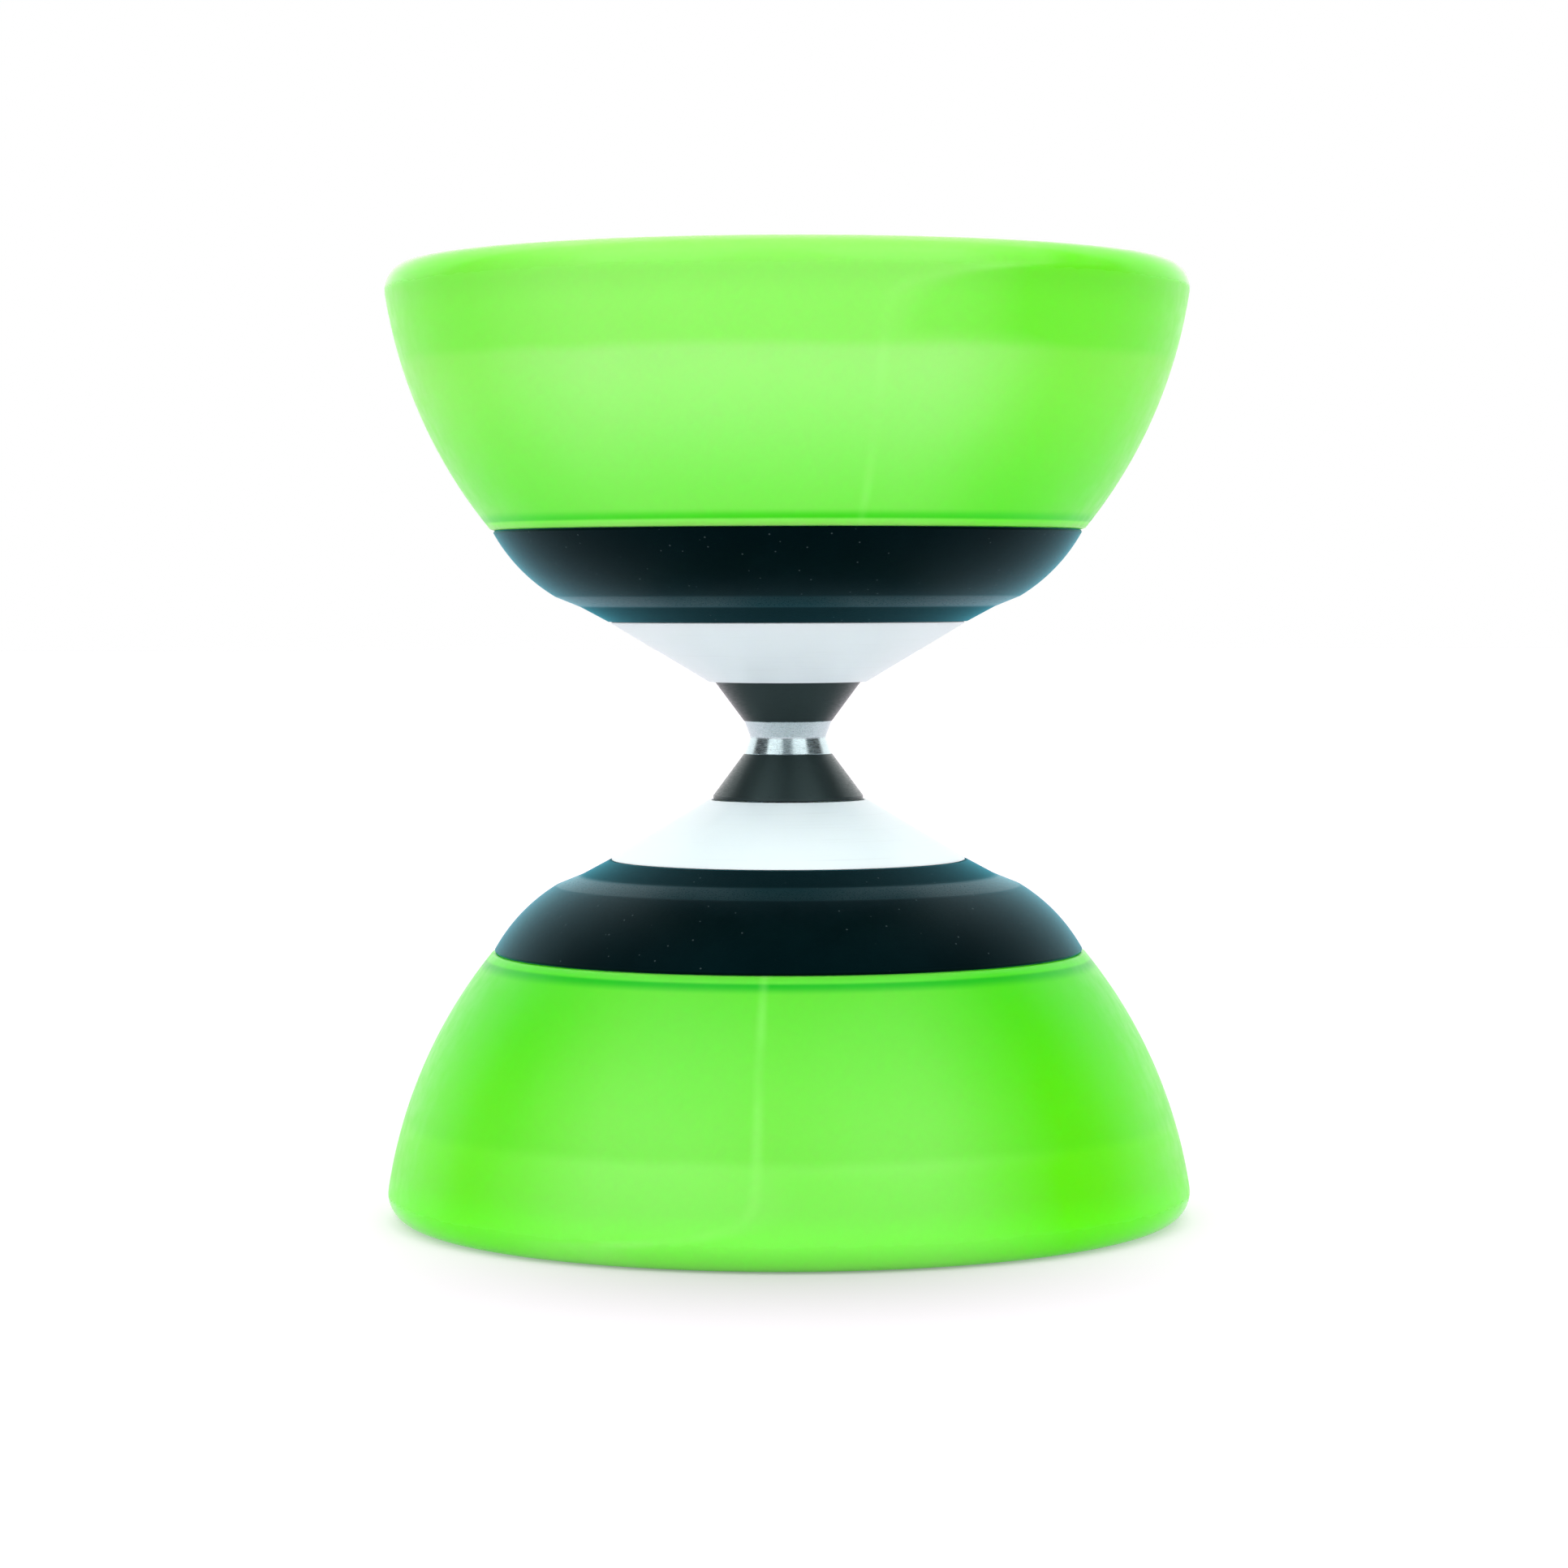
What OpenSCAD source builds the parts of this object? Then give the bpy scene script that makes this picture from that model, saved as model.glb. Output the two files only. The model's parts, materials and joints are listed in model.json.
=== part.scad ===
// Bearing diabolo: two flexible cups joined foot to foot by a short clutch-driven axle.
// The axis stands along +Z. The origin is the centre of the circle the lower rim stands on.
// Every piece of a side is drawn for the upper side, measured from the middle of the axle,
// and the lower side is its mirror image.

/* [Cups] */
// Outer diameter of a cup at its rim
rim_d = 116.9; // [116:0.1:118]
// Height of the diabolo, rim to rim
total_h = 138.6; // [138:0.1:140]
// Radius of the outward bulge of a cup's wall, seen from the side
bulge_r = 70.6; // [68:0.2:76]
// Outer radius of a cup's foot
foot_r = 43.2; // [42.8:0.1:43.6]
// Distance from the axle's middle to the cup's foot
foot_z = 30.7; // [30.5:0.1:31]
// Thickness of a cup's floor
floor_t = 1.3; // [1.1:0.1:1.5]
// Thickness of a cup's wall
wall_t = 2.9; // [2.4:0.1:3.2]
// Thickness of the band under the rim
band_t = 5.8; // [5.6:0.1:6.4]
// Height of the band under the rim
band_h = 15; // [12:0.5:18]
// Radius of the rounding on the outside of the rim
rim_round = 3.8; // [3.2:0.1:4]
// Radius of the rounding on the inside of the rim
lip_round = 1.2; // [0.8:0.1:1.4]

/* [Hubs] */
// Distance from the axle's middle to the joint between hub and white cone
nose_z = 17.4; // [17:0.1:17.8]
// Radius of that joint
nose_r = 26.2; // [25.8:0.1:26.4]
// Radius where the hub's cone meets its step
step_r = 30.2; // [30:0.1:30.6]
// Radius where the hub's step meets its dome
dome_r = 35.2; // [35:0.1:35.6]
// Distance from the axle's middle to the inner edge of the dome
dome_z = 21.8; // [21.6:0.1:22]
// Outer radius of the hub's top edge
hub_r = 42.85; // [42.6:0.05:43]
// Radius of the dome's outward bulge, seen from the side
dome_bulge = 32.6; // [31:0.2:36]
// Thickness of the hub's shell
hub_t = 3; // [2.6:0.1:3.2]
// Number of ribs inside a hub
hub_ribs = 12; // [8:1:16]
// Outer radius of the ring that centres the cup's floor
ring_r = 36.9; // [36:0.1:37.4]

/* [White cones] */
// Outer radius of a white cone at its small end
cone_r = 11.55; // [11.5:0.05:11.8]
// Distance from the axle's middle to the small end
cone_z = 8.6; // [8.6:0.05:8.8]
// Depth of the recess that the axle sleeve's end sits in
recess_h = 1.2; // [1.1:0.05:1.4]

/* [Axle sleeve] */
// Radius of the sleeve at the middle of the string groove
groove_r = 5.55; // [5.5:0.01:5.7]
// Radius where the groove meets the black cones
groove_end_r = 6.38; // [6.3:0.01:6.5]
// Width of the string groove
groove_w = 4.7; // [4.4:0.1:5]
// Outer radius of the sleeve's ends
sleeve_r = 10.95; // [10.8:0.05:11]
// Length of the sleeve
sleeve_len = 17.9; // [17.8:0.1:18]
// Length of the short cylinder at each end of the sleeve
lip_len = 0.45; // [0.3:0.05:0.6]
// How far the sleeve sits above the middle of the axle
sleeve_off = 0.49; // [0.4:0.01:0.5]

/* [Clamp discs] */
// Thickness of a clamp disc at its edge
disc_t = 1.3; // [1.2:0.1:1.6]
// Number of ribs on a clamp disc
disc_ribs = 8; // [6:1:12]
// Height of a clamp disc's middle
disc_boss_h = 4; // [3.5:0.1:5]

/* [Shaft and nuts] */
// Diameter of the shaft between the bearings
race_d = 6; // [5.8:0.1:6.1]
// Diameter of the shaft where the bearings and nuts sit
shaft_d = 5; // [4.8:0.1:5.2]
// Diameter of the stud at each end of the shaft
stud_d = 4; // [3.5:0.1:4.5]
// Length of the stud
stud_len = 6.2; // [5:0.1:8]
// Distance across the flats of a nut
nut_af = 8; // [7.8:0.1:8.6]
// Height of a nut
nut_h = 5; // [4.8:0.1:5.5]
// Outer diameter of a steel washer
washer_d = 12; // [10:0.5:14]
// Thickness of a steel washer
washer_t = 1; // [0.8:0.1:1.2]

/* [Bearings and clutch] */
// Outer diameter of a ball bearing
bearing_d = 13; // [12.6:0.1:13.4]
// Width of a ball bearing
bearing_w = 4; // [3.6:0.1:4.2]
// Diameter of a bearing's balls
ball_d = 2; // [1.8:0.1:2]
// Number of balls in a bearing
balls = 8; // [6:1:9]
// Outer diameter of the clutch
clutch_d = 10; // [10:0.1:10.4]
// Length of the clutch
clutch_len = 8; // [7:0.1:8.4]
// Diameter of the clutch's rollers
roller_d = 1.4; // [1.2:0.05:1.4]
// Number of rollers in the clutch
rollers = 8; // [6:1:9]

/* [Hidden] */
$fn = 96;
green = [0.45, 0.93, 0.25];
black = [0.09, 0.12, 0.13];
white = [0.90, 0.93, 0.91];
steel = [0.70, 0.72, 0.74];
brass = [0.80, 0.66, 0.35];

half_h = total_h / 2;
over = 1;                                        // how far a cutter or a rib runs into its neighbour
shaft_r = shaft_d / 2;
tight_r = shaft_r + 0.02;                        // bore of the pieces that grip the shaft
bore_r = shaft_r + 0.05;                         // bore of the pieces that slip onto it

// Cup: the wall's arc passes through the foot and just touches the rim's rounding
rim_c = [rim_d / 2 - rim_round, half_h - rim_round];
bulge_c = arc_centre([foot_r, foot_z], bulge_r, rim_c, bulge_r - rim_round);
foot_a = bearing_of(bulge_c, [foot_r, foot_z]);
rim_a = bearing_of(bulge_c, rim_c);
inner_r = bulge_r - wall_t;
band_r = bulge_r - band_t;
ramp_z = half_h - band_h;                        // where the ramp up to the band starts
ramp_h = 1.6;
floor_z = foot_z + floor_t;                      // top face of the cup's floor
lip_z = half_h - lip_round;
lip_c = [bulge_c.x + chord(band_r, lip_z - bulge_c.y) + lip_round, lip_z];
hole_r = ring_r + 0.05;                          // hole in the cup's floor

// Hub
edge_round = 0.4;
dome_top = [hub_r, foot_z - edge_round];
dome_c = arc_centre(dome_top, dome_bulge, [dome_r, dome_z], dome_bulge);
step_bulge = 35;                                 // bulge of the narrow step, seen from the side
step_z = nose_z + (step_r - nose_r) / 1.86;      // the hub's cone is 61.7 degrees off the axis
step_c = arc_centre([dome_r, dome_z], step_bulge, [step_r, step_z], step_bulge);
boss_r = 8;
pocket_z = nose_z + hub_t;                       // floor of the ribbed pocket
ring_t = 2.4;                                    // thickness of the centring ring
pocket_r = ring_r - ring_t;
pocket_in = dome_bulge - hub_t;                  // radius of the pocket's domed wall
pocket_top = [pocket_r, dome_c.y - chord(pocket_in, pocket_r - dome_c.x)];
rib_t = 1.6;
rib_top_z = floor_z - 2.5;                       // the ribs stop short of the clamp disc
spigot_r = 10;                                   // nose that centres the white cone
spigot_h = 2;

// White cone
seat_z = cone_z + recess_h;                      // face that the shim bears on
recess_r = sleeve_r + 0.25;                      // leaves the sleeve's end free to turn
socket_r = spigot_r + 0.05;

// Clamp disc
disc_gap = 0.25;                                 // between the disc's edge and the cup's wall
disc_r = bulge_c.x + chord(inner_r, floor_z - bulge_c.y) - disc_gap;
disc_edge = 0.75;                                // flare of the edge, for each mm of thickness
disc_top_z = floor_z + disc_t;
disc_ring_r = 33;                                // inner radius of the low ring on its top
disc_ring_h = 1.4;
disc_rib_t = 2;
disc_boss_r = 9;
disc_boss_draft = 0.3;                           // the boss is narrower at its top by this
disc_rib_drop = 0.4;                             // from the boss's top to the ribs'
washer_z = floor_z + disc_boss_h;
nut_z = washer_z + washer_t;
hex_h = nut_h * 0.72;                            // height of the nut's hexagon
collar_r = nut_af / 2 - 0.15;                    // round collar above the hexagon
insert_r = 3.3;
insert_z = nut_z + hex_h - 0.2;
insert_h = 1.2;
stud_z = nut_z + nut_h + 0.3;                    // shoulder between the shaft and its stud

// Shaft, bearings and clutch
race_half = 4.6;                                 // half length of the shaft's thick part
race_t = 1.25;                                   // thickness of a bearing's rings
ring_in = shaft_r + race_t;                      // outer radius of its inner ring
ring_out = bearing_d / 2 - race_t;               // inner radius of its outer ring
pitch_r = (ring_in + ring_out) / 2;              // circle that the balls run on
ball_r = ball_d / 2;
track_r = ball_r + 0.04;                         // radius of the grooves that the balls run in
cage_t = 0.7;
cage_h = 2.8;
ball_room = 0.06;                                // clearance of a ball in its cage
shield_r = ring_out + 0.3;
shield_t = 0.25;
shield_seat = 0.3;                               // depth of the step that a shield sits in
shell_r = clutch_d / 2;
shell_t = 0.5;
shell_lip_r = 3.5;
roller_r = roller_d / 2;
roller_gap = 0.03;                               // between a free roller and the shaft
roller_pitch = race_d / 2 + roller_gap + roller_r;
roller_len = clutch_len - 2.2;

// ---- geometry helpers ----

// Half the chord of a circle of radius r, at distance d from its centre
function chord(r, d) = sqrt(r * r - d * d);

// Direction from point a to point b, in degrees
function bearing_of(a, b) = atan2(b.y - a.y, b.x - a.x);

// Centre of the arc that passes at distance ra from point a and rb from point b. Of the two
// such points it is the one nearer the axis.
function arc_centre(a, ra, b, rb) =
    let (d = norm(b - a), u = (b - a) / d, k = (ra * ra - rb * rb + d * d) / (2 * d))
    let (m = a + k * u, n = [-u.y, u.x] * chord(ra, k))
    (m + n).x < (m - n).x ? m + n : m - n;

// Points along an arc from angle a0 to angle a1
function arc(c, r, a0, a1, n) =
    [for (i = [0:n]) let (a = a0 + (a1 - a0) * i / n) c + r * [cos(a), sin(a)]];

// A ring of rectangular section
module ring(r_in, r_out, z, h)
    translate([0, 0, z])
        difference() {
            cylinder(r = r_out, h = h);
            translate([0, 0, -over])
                cylinder(r = r_in, h = h + 2 * over);
        }

// Copies a piece n times round the axis
module around(n)
    for (i = [0:n - 1])
        rotate([0, 0, i * 360 / n])
            children();

// Stands an upper piece above the axle's middle, or its mirror image below it
module on_side(side)
    translate([0, 0, half_h])
        if (side == "upper") children();
        else mirror([0, 0, 1]) children();

// Height of the sleeve's middle, measured along one side's own axis
function sleeve_mid(side) = side == "upper" ? sleeve_off : -sleeve_off;

// ---- pieces of one side ----

// Flexible shell: a floor with a centring hole, a bulging wall, and a thick band under the rim
module cup(side) {
    floor_a = asin((floor_z - bulge_c.y) / inner_r);
    ramp_a = asin((ramp_z - bulge_c.y) / inner_r);
    band_a = asin((ramp_z + ramp_h - bulge_c.y) / band_r);
    lip_a = asin((lip_z - bulge_c.y) / band_r);
    outer = concat(
        arc(bulge_c, bulge_r, foot_a, rim_a, 12),
        arc(rim_c, rim_round, rim_a + 14, 90, 8)
    );
    inner = concat(
        arc(lip_c, lip_round, 90, 180 + lip_a, 5),
        arc(bulge_c, band_r, lip_a, band_a, 5),
        arc(bulge_c, inner_r, ramp_a, floor_a, 8)
    );
    color(green)
        on_side(side)
            rotate_extrude()
                polygon(concat([[hole_r, foot_z]], outer, inner, [[hole_r, floor_z]]));
}

// Moulded dish that carries the cup: a cone, a step and a dome outside, a ribbed pocket inside
module hub(side) {
    step_a = [bearing_of(step_c, [step_r, step_z]), bearing_of(step_c, [dome_r, dome_z])];
    dome_a = [bearing_of(dome_c, [dome_r, dome_z]), bearing_of(dome_c, dome_top)];
    pocket_a = [bearing_of(dome_c, pocket_top), bearing_of(dome_c, [step_r, step_z])];
    outer = concat(
        [[bore_r, nose_z - spigot_h], [spigot_r, nose_z - spigot_h], [spigot_r, nose_z], [nose_r, nose_z]],
        arc(step_c, step_bulge, step_a[0], step_a[1], 3),
        arc(dome_c, dome_bulge, dome_a[0] + 2, dome_a[1], 7),
        arc([hub_r - edge_round, foot_z - edge_round], edge_round, 30, 90, 2)
    );
    pocket = concat(
        [[ring_r, foot_z], [ring_r, floor_z], [pocket_r, floor_z]],
        arc(dome_c, pocket_in, pocket_a[0], pocket_a[1], 4),
        [[nose_r - 1, pocket_z], [boss_r, pocket_z], [boss_r, floor_z], [bore_r, floor_z]]
    );
    rib = concat(
        [[boss_r - over, pocket_z - over], [nose_r - 1, pocket_z - over]],
        arc(dome_c, pocket_in + over, pocket_a[1], pocket_a[0] + 2, 4),
        [[pocket_r + over, rib_top_z], [boss_r - over, rib_top_z]]
    );
    color(black)
        on_side(side) {
            rotate_extrude()
                polygon(concat(outer, pocket));
            around(hub_ribs)
                rotate([90, 0, 0])
                    translate([0, 0, -rib_t / 2])
                        linear_extrude(rib_t)
                            polygon(rib);
        }
}

// Slippery cone that the string rides up against, recessed for the end of the sleeve
module cone_washer(side)
    color(white)
        on_side(side)
            rotate_extrude()
                polygon([
                    [bore_r, seat_z], [recess_r, seat_z], [recess_r, cone_z], [cone_r, cone_z],
                    [nose_r, nose_z], [socket_r, nose_z], [socket_r, nose_z - spigot_h],
                    [bore_r, nose_z - spigot_h]
                ]);

// Plate that presses the cup's floor onto the hub
module clamp_disc(side) {
    rib = [
        [disc_boss_r - over, disc_top_z - over], [disc_ring_r + over, disc_top_z - over],
        [disc_ring_r + over, disc_top_z + disc_ring_h],
        [disc_boss_r - over, washer_z - disc_rib_drop]
    ];
    color(black)
        on_side(side) {
            rotate_extrude()
                polygon([
                    [bore_r, floor_z], [disc_r, floor_z], [disc_r + disc_t * disc_edge, disc_top_z],
                    [disc_ring_r + disc_rib_t, disc_top_z],
                    [disc_ring_r + disc_rib_t, disc_top_z + disc_ring_h],
                    [disc_ring_r, disc_top_z + disc_ring_h], [disc_ring_r, disc_top_z],
                    [disc_boss_r, disc_top_z], [disc_boss_r - disc_boss_draft, washer_z],
                    [bore_r, washer_z]
                ]);
            around(disc_ribs)
                rotate([90, 0, 0])
                    translate([0, 0, -disc_rib_t / 2])
                        linear_extrude(disc_rib_t)
                            polygon(rib);
        }
}

module flat_washer(side)
    color(steel)
        on_side(side)
            ring(shaft_r + 0.15, washer_d / 2, washer_z, washer_t);

// Hexagon nut with a round collar that holds the nylon ring
module lock_nut(side)
    color(steel)
        on_side(side)
            difference() {
                union() {
                    translate([0, 0, nut_z])
                        chamfered_hexagon();
                    translate([0, 0, nut_z])
                        cylinder(r = collar_r, h = nut_h);
                }
                translate([0, 0, nut_z - over])
                    cylinder(r = tight_r, h = nut_h + 2 * over);
                translate([0, 0, insert_z])
                    cylinder(r = insert_r, h = insert_h);
            }

// Hexagonal prism with its corners taken off at both ends
module chamfered_hexagon() {
    corner_r = nut_af / 2 / cos(30);
    lead = 0.4;
    intersection() {
        cylinder(r = corner_r, h = hex_h, $fn = 6);
        rotate_extrude()
            polygon([
                [0, 0], [nut_af / 2, 0], [corner_r, lead],
                [corner_r, hex_h - lead], [nut_af / 2, hex_h], [0, hex_h]
            ]);
    }
}

// Nylon ring that grips the shaft's thread
module nut_insert(side)
    color(white)
        on_side(side)
            ring(tight_r, insert_r, insert_z, insert_h);

// Spacer between the bearing's inner ring and the white cone
module shim(side) {
    z = sleeve_mid(side) + race_half + bearing_w;
    color(steel)
        on_side(side)
            ring(bore_r, ring_in, z, seat_z - z);
}

// ---- ball bearing of one side ----

// Turns a section into a bearing ring. Both ring sections are square to the axis, and the
// balls' groove is cut into them.
module race(side, r_in, r_out)
    on_side(side)
        translate([0, 0, sleeve_mid(side) + race_half])
            rotate_extrude()
                difference() {
                    translate([r_in, 0])
                        square([r_out - r_in, bearing_w]);
                    translate([pitch_r, bearing_w / 2])
                        circle(track_r);
                    for (y = [-over, bearing_w - shield_seat])
                        translate([ring_out - over, y])
                            square([shield_r - ring_out + over, shield_seat + over]);
                }

module bearing_inner_ring(side)
    color(steel)
        race(side, tight_r, ring_in);

module bearing_outer_ring(side)
    color(steel)
        race(side, ring_out, bearing_d / 2);

// Places a piece at the middle of one side's bearing
module at_bearing(side)
    on_side(side)
        translate([0, 0, sleeve_mid(side) + race_half + bearing_w / 2])
            children();

module bearing_balls(side)
    color(steel)
        at_bearing(side)
            around(balls)
                translate([pitch_r, 0, 0])
                    sphere(ball_r);

module ball_cage(side)
    color(brass)
        at_bearing(side)
            difference() {
                ring(pitch_r - cage_t / 2, pitch_r + cage_t / 2, -cage_h / 2, cage_h);
                around(balls)
                    translate([pitch_r - over, 0, 0])
                        rotate([0, 90, 0])
                            cylinder(r = ball_r + ball_room, h = 2 * over);
            }

// Two thin discs that close the bearing, one near each face
module bearing_shields(side)
    color(steel)
        at_bearing(side)
            for (z = [-bearing_w / 2 + shield_seat - shield_t, bearing_w / 2 - shield_seat])
                ring(ring_in + 0.1, shield_r, z, shield_t);

// ---- the axle ----

// Sleeve that the string runs on: a V groove between two cones, bored for bearings and clutch
module axle_sleeve() {
    end = sleeve_len / 2;
    color(black)
        translate([0, 0, half_h + sleeve_off])
            rotate_extrude()
                polygon([
                    [shell_r, -race_half], [bearing_d / 2, -race_half], [bearing_d / 2, -end],
                    [sleeve_r, -end], [sleeve_r, lip_len - end], [groove_end_r, -groove_w / 2],
                    [groove_r, -0.2], [groove_r, 0.2], [groove_end_r, groove_w / 2],
                    [sleeve_r, end - lip_len], [sleeve_r, end], [bearing_d / 2, end],
                    [bearing_d / 2, race_half], [shell_r, race_half]
                ]);
}

// Hardened shaft: thick in the middle for the clutch, with a threaded stud at each end that an
// accessory screws onto
module axle_shaft() {
    tip = 0.4;
    stud_r = stud_d / 2;
    end = stud_z + stud_len;
    half = [
        [shaft_r, stud_z - tip], [shaft_r - tip, stud_z], [stud_r, stud_z],
        [stud_r, end - tip], [stud_r - tip, end], [0, end]
    ];
    below = [for (i = [len(half) - 1:-1:0]) [half[i].x, -half[i].y]];
    color(steel)
        translate([0, 0, half_h])
            rotate_extrude()
                polygon(concat(
                    below,
                    [
                        [shaft_r, sleeve_off - race_half], [race_d / 2, sleeve_off - race_half],
                        [race_d / 2, sleeve_off + race_half], [shaft_r, sleeve_off + race_half]
                    ],
                    half
                ));
}

// Places a piece at the middle of the sleeve
module at_sleeve()
    translate([0, 0, half_h + sleeve_off])
        children();

// Drawn steel shell pressed into the sleeve
module clutch_shell()
    color(steel)
        at_sleeve()
            rotate_extrude()
                difference() {
                    translate([shell_lip_r, -clutch_len / 2])
                        square([shell_r - shell_lip_r, clutch_len]);
                    translate([shell_lip_r - over, shell_t - clutch_len / 2])
                        square([shell_r - shell_t - shell_lip_r + over, clutch_len - 2 * shell_t]);
                }

module clutch_rollers()
    color(steel)
        at_sleeve()
            around(rollers)
                translate([roller_pitch, 0, -roller_len / 2])
                    cylinder(r = roller_r, h = roller_len);

module clutch_cage() {
    cage_len = clutch_len - 2 * shell_t - 0.2;
    slot_len = roller_len + 0.1;
    color(brass)
        at_sleeve()
            difference() {
                ring(race_d / 2 + 0.2, shell_r - shell_t - 0.15, -cage_len / 2, cage_len);
                around(rollers)
                    translate([roller_pitch, 0, -slot_len / 2])
                        cylinder(r = roller_r + 0.05, h = slot_len);
            }
}

// ---- the nodes ----

cup("upper");  // upper_cup
hub("upper");  // upper_hub
cone_washer("upper");  // upper_cone_washer
clamp_disc("upper");  // upper_clamp_disc
flat_washer("upper");  // upper_flat_washer
lock_nut("upper");  // upper_lock_nut
nut_insert("upper");  // upper_nut_insert
shim("upper");  // upper_shim
bearing_inner_ring("upper");  // upper_bearing_inner_ring
bearing_outer_ring("upper");  // upper_bearing_outer_ring
bearing_balls("upper");  // upper_bearing_balls
ball_cage("upper");  // upper_ball_cage
bearing_shields("upper");  // upper_bearing_shields
cup("lower");  // lower_cup
hub("lower");  // lower_hub
cone_washer("lower");  // lower_cone_washer
clamp_disc("lower");  // lower_clamp_disc
flat_washer("lower");  // lower_flat_washer
lock_nut("lower");  // lower_lock_nut
nut_insert("lower");  // lower_nut_insert
shim("lower");  // lower_shim
bearing_inner_ring("lower");  // lower_bearing_inner_ring
bearing_outer_ring("lower");  // lower_bearing_outer_ring
bearing_balls("lower");  // lower_bearing_balls
ball_cage("lower");  // lower_ball_cage
bearing_shields("lower");  // lower_bearing_shields
axle_sleeve();
axle_shaft();
clutch_shell();
clutch_rollers();
clutch_cage();
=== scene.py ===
"""Looks of a bearing diabolo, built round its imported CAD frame.

Lengths are in millimetres and multiplied by MM where they enter Blender. A side's pieces are
drawn for the upper side, with z measured from the middle of the axle, and the lower side is
their mirror image.
"""

import json
import math

import bmesh
import bpy
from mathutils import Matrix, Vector


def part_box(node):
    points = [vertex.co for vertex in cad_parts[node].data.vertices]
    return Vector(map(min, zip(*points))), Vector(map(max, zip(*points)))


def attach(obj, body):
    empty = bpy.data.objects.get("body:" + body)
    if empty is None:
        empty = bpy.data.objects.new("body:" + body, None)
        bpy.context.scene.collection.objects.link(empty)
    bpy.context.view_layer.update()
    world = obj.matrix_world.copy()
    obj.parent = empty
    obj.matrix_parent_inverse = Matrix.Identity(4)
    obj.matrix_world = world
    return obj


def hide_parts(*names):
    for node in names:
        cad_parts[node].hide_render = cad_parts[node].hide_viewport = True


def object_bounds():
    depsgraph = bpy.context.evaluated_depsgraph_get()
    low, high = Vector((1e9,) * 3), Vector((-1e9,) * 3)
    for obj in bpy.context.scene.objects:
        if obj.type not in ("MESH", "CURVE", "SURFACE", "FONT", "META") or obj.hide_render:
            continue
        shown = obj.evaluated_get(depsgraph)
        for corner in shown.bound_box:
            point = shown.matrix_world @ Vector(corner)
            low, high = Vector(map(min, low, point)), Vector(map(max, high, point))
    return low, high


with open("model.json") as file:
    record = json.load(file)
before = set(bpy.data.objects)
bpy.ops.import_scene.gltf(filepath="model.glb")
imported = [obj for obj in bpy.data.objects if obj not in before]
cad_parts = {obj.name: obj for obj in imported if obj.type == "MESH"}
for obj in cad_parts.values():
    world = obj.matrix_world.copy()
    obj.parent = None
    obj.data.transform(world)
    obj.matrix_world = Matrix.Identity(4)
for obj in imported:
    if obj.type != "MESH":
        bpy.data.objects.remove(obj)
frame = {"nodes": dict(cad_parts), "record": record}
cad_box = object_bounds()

MM = 0.001
SIDES = {"upper": 1, "lower": -1}
HALF_H = (cad_box[1].z - cad_box[0].z) / 2 / MM
SLEEVE_OFF = sum(c.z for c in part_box("axle_sleeve")) / 2 / MM - HALF_H


# ---------------------------------------------------------------- outlines

def chord(r, d):
    """Half the chord of a circle of radius r, at distance d from its centre."""
    return math.sqrt(r * r - d * d)


def arc_centre(a, ra, b, rb):
    """The point at distance ra from a and rb from b that is nearer the axis."""
    d = math.dist(a, b)
    ux, uz = (b[0] - a[0]) / d, (b[1] - a[1]) / d
    k = (ra * ra - rb * rb + d * d) / (2 * d)
    h = chord(ra, k)
    return min((a[0] + k * ux - s * h * uz, a[1] + k * uz + s * h * ux) for s in (1, -1))


def bearing_of(a, b):
    """Direction from point a to point b."""
    return math.atan2(b[1] - a[1], b[0] - a[0])


def arc(c, r, a0, a1, n):
    """Points along an arc from angle a0 to angle a1."""
    angles = [a0 + (a1 - a0) * i / n for i in range(n + 1)]
    return [(c[0] + r * math.cos(a), c[1] + r * math.sin(a)) for a in angles]


def rounded(points, steps=4):
    """A closed outline with its corners rounded: a point is (r, z) or (r, z, radius)."""
    out = []
    for i, p in enumerate(points):
        here = Vector(p[:2])
        if len(p) == 2:
            out.append(tuple(here))
            continue
        before = Vector(points[i - 1][:2]) - here
        after = Vector(points[(i + 1) % len(points)][:2]) - here
        reach = p[2] / math.tan(before.angle(after) / 2)
        reach = min(reach, before.length * 0.45, after.length * 0.45)
        start = here + before.normalized() * reach
        end = here + after.normalized() * reach
        for j in range(steps + 1):
            t = j / steps
            out.append(tuple(start.lerp(here, t).lerp(here.lerp(end, t), t)))
    return out


# ---------------------------------------------------------------- meshes

def finish_mesh(bm, name, sharp_deg=35):
    """Turns a bmesh into an object with outward normals, smooth but for its sharp edges."""
    bmesh.ops.remove_doubles(bm, verts=bm.verts, dist=1e-7)
    bmesh.ops.recalc_face_normals(bm, faces=bm.faces)
    mesh = bpy.data.meshes.new(name)
    bm.to_mesh(mesh)
    bm.free()
    mesh.shade_smooth()
    mesh.set_sharp_from_angle(angle=math.radians(sharp_deg))
    piece = bpy.data.objects.new(name, mesh)
    bpy.context.scene.collection.objects.link(piece)
    return piece


def turned(name, outline, columns, side="upper", shape=None, sharp_deg=35):
    """A closed outline of (r, z) turned about the axis. shape(angle, r, z) may change a point."""
    bm = bmesh.new()
    rings = []
    for r, z in outline:
        ring = []
        for i in range(columns):
            a = 2 * math.pi * i / columns
            ra, za = shape(a, r, z) if shape else (r, z)
            height = HALF_H + SIDES[side] * za
            ring.append(bm.verts.new(Vector((ra * math.cos(a), ra * math.sin(a), height)) * MM))
        rings.append(ring)
    for low, high in zip(rings, rings[1:] + rings[:1]):
        for i in range(columns):
            j = (i + 1) % columns
            bm.faces.new((low[i], low[j], high[j], high[i]))
    return finish_mesh(bm, name, sharp_deg)


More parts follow.
